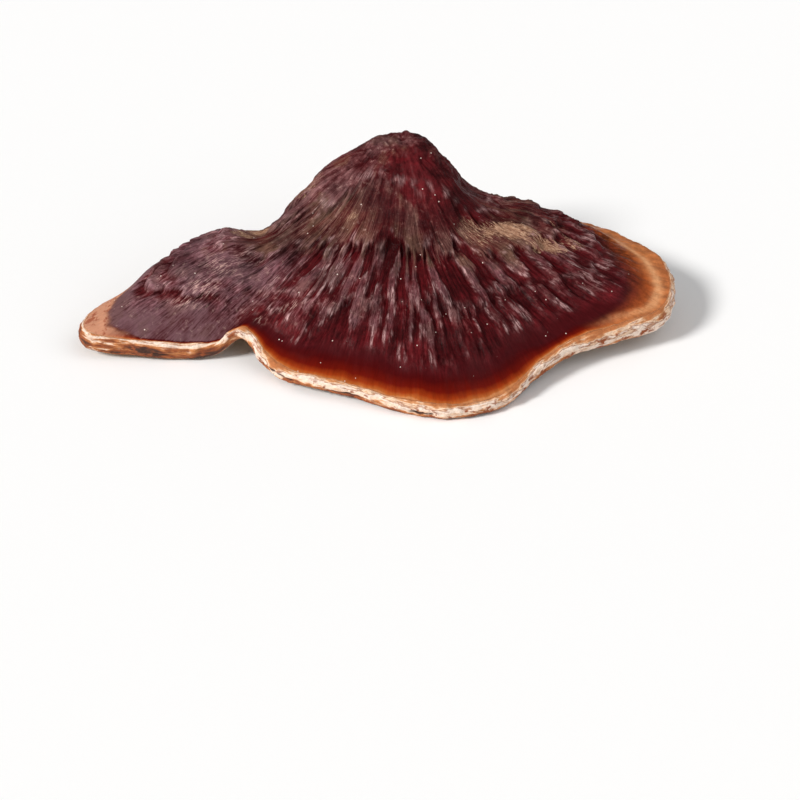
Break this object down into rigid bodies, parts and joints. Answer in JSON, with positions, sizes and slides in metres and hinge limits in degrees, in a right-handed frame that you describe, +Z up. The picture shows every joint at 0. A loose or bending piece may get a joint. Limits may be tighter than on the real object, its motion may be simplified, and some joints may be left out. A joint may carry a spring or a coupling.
{
  "type": "reishi mushroom",
  "caption": "Reishi bracket mushroom: a domed, two-lobed woody cap with a knob, radial wrinkles and a pale rounded margin, on a short stem stub cut off flat.",
  "frame": {"origin": "middle of the stem's flat cut face, on the surface that the mushroom rests on", "axes": "+Z up through the knob, -Y towards the front of the cap, +X towards its right lobe"},
  "size_m": [0.1731, 0.0928, 0.0502],
  "materials": {
    "lacquered_crust": "naturally lacquered dark maroon crust, wrinkled and dusty, turning orange and then cream at the margin"
  },
  "bodies": {
    "root": {"fruiting_body": "lacquered_crust"}
  },
  "joints": []
}
